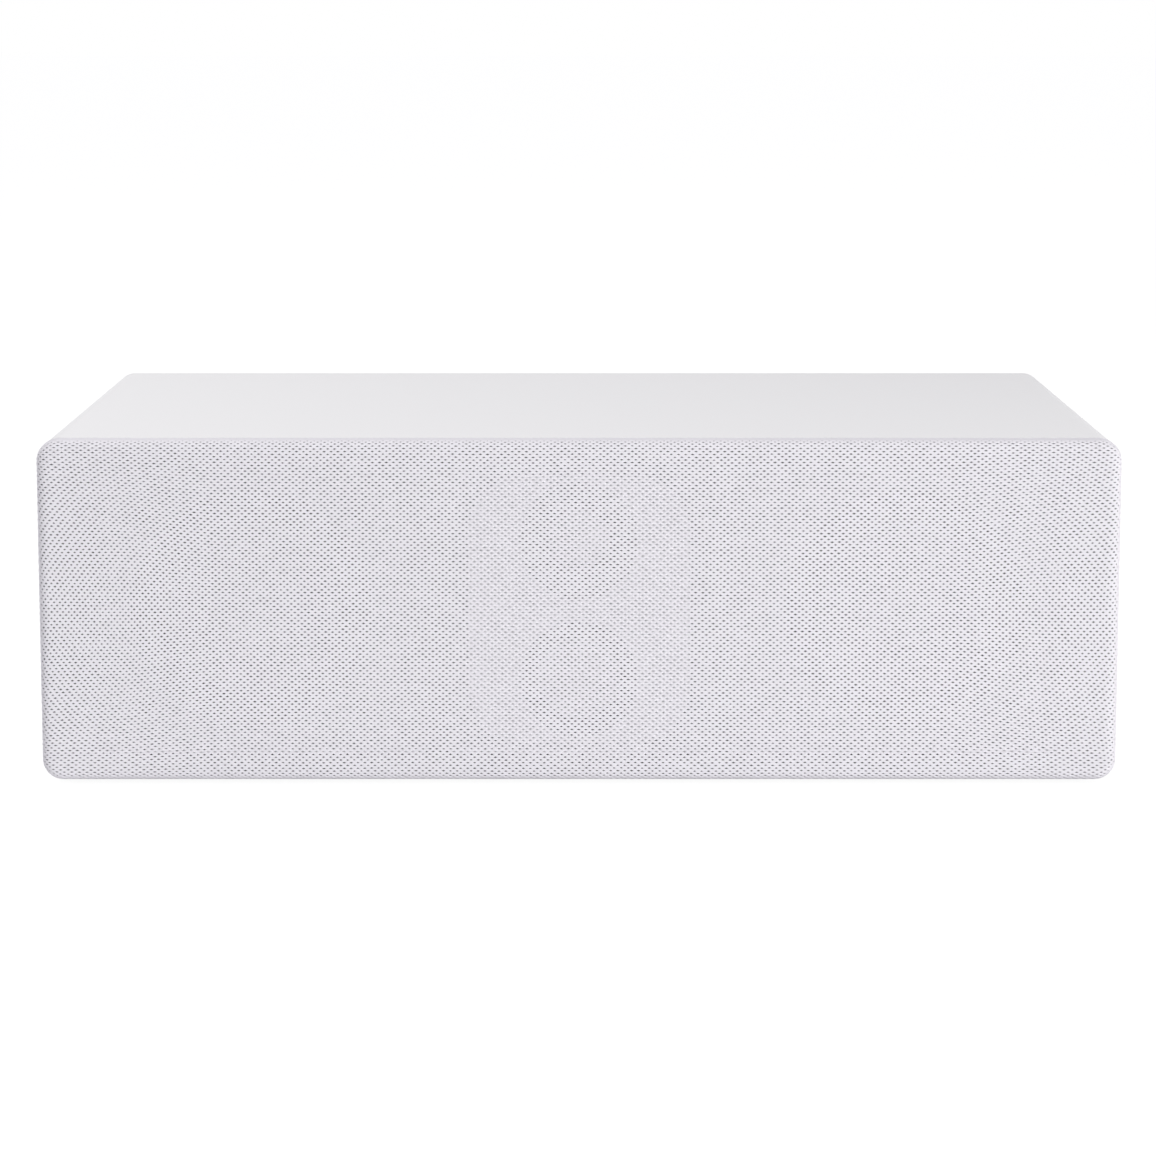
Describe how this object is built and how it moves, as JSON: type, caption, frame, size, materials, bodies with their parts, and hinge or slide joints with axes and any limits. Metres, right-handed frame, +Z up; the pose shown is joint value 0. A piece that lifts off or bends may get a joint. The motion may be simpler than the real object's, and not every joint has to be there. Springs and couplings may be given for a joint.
{
  "type": "bluetooth speaker",
  "caption": "Low wide tabletop loudspeaker: white box, full-face pale cloth grille, woofers beside a centre plate, ported rear panel with a connection tray.",
  "frame": {"origin": "middle of the bounding box at the underside of the rubber feet", "axes": "+X along the width to the listener's right, +Y to the rear, +Z up; the grille faces -Y"},
  "size_m": [0.42, 0.225, 0.136],
  "materials": {
    "cabinet_lacquer": "matte white lacquer on fibreboard",
    "fibreboard": "bare fibreboard",
    "baffle_paint": "matte dark grey paint on fibreboard",
    "grille_plastic": "fine moulded grain",
    "grille_knit": "pale open speaker knit",
    "foot_rubber": "matte",
    "silver_plate": "satin",
    "cast_basket": "satin dark coating",
    "foam": "soft foam",
    "roll_rubber": "smooth",
    "cone_paper": "pressed fibres, dark",
    "mid_cone": "pressed fibres, light grey",
    "spider_cloth": "resin-dipped weave",
    "coil_copper": "enamelled winding",
    "motor_steel": "zinc plated",
    "ferrite": "ground, matte",
    "dome_metal": "satin",
    "tweeter_plastic": "satin",
    "tray_plastic": "fine moulded grain",
    "control_plastic": "semi-gloss",
    "panel_board": "matte black textured paint",
    "black_screw": "black oxide",
    "contact_brass": "polished",
    "circuit_board": "solder mask",
    "sink_aluminium": "extruded",
    "capacitor_sleeve": "shrink sleeve",
    "transformer_core": "varnished laminations",
    "shield_tin": "tinned"
  },
  "bodies": {
    "speaker": {"cabinet": "cabinet_lacquer", "front_baffle": "baffle_paint", "left_divider": "fibreboard", "right_divider": "fibreboard", "grille_frame": "grille_plastic", "grille_cloth": "grille_knit", "grille_cups": "foot_rubber", "rubber_feet": "foot_rubber", "centre_plate": "silver_plate", "tweeter_waveguide": "tweeter_plastic", "tweeter_dome": "dome_metal", "tweeter_surround": "roll_rubber", "tweeter_coil": "coil_copper", "tweeter_cup": "motor_steel", "midrange_basket": "cast_basket", "midrange_surround": "roll_rubber", "midrange_cone": "mid_cone", "midrange_cap": "mid_cone", "midrange_coil": "coil_copper", "midrange_top_plate": "motor_steel", "midrange_magnet": "ferrite", "midrange_yoke": "motor_steel", "midrange_chamber": "tray_plastic", "woofer_screws": "black_screw", "rear_panel": "panel_board", "panel_screws": "black_screw", "left_port": "tray_plastic", "right_port": "tray_plastic", "connection_tray": "tray_plastic", "mains_inlet": "control_plastic", "inlet_pins": "contact_brass", "rocker_housing": "control_plastic", "line_socket": "control_plastic", "amplifier_board": "circuit_board", "heat_sink": "sink_aluminium", "capacitors": "capacitor_sleeve", "transformer": "transformer_core", "wireless_module": "shield_tin", "left_woofer_basket": "cast_basket", "left_woofer_gasket": "foam", "left_woofer_surround": "roll_rubber", "left_woofer_cone": "cone_paper", "left_woofer_cap": "cone_paper", "left_woofer_spider": "spider_cloth", "left_woofer_coil": "coil_copper", "left_woofer_top_plate": "motor_steel", "left_woofer_magnet": "ferrite", "left_woofer_yoke": "motor_steel", "right_woofer_basket": "cast_basket", "right_woofer_gasket": "foam", "right_woofer_surround": "roll_rubber", "right_woofer_cone": "cone_paper", "right_woofer_cap": "cone_paper", "right_woofer_spider": "spider_cloth", "right_woofer_coil": "coil_copper", "right_woofer_top_plate": "motor_steel", "right_woofer_magnet": "ferrite", "right_woofer_yoke": "motor_steel"},
    "rocker": {"power_rocker": "control_plastic"},
    "button": {"pairing_button": "control_plastic"}
  },
  "joints": [
    {"name": "rocker_tilt", "type": "hinge", "parent": "speaker", "child": "rocker", "pos_m": [-0.003, 0.0945, 0.069], "axis": [1, 0, 0], "range_deg": [-14, 0]},
    {"name": "button_press", "type": "slide", "parent": "speaker", "child": "button", "axis": [0, -1, 0], "range_m": [0, 0.0008], "stiffness_N_per_m": 1000}
  ]
}
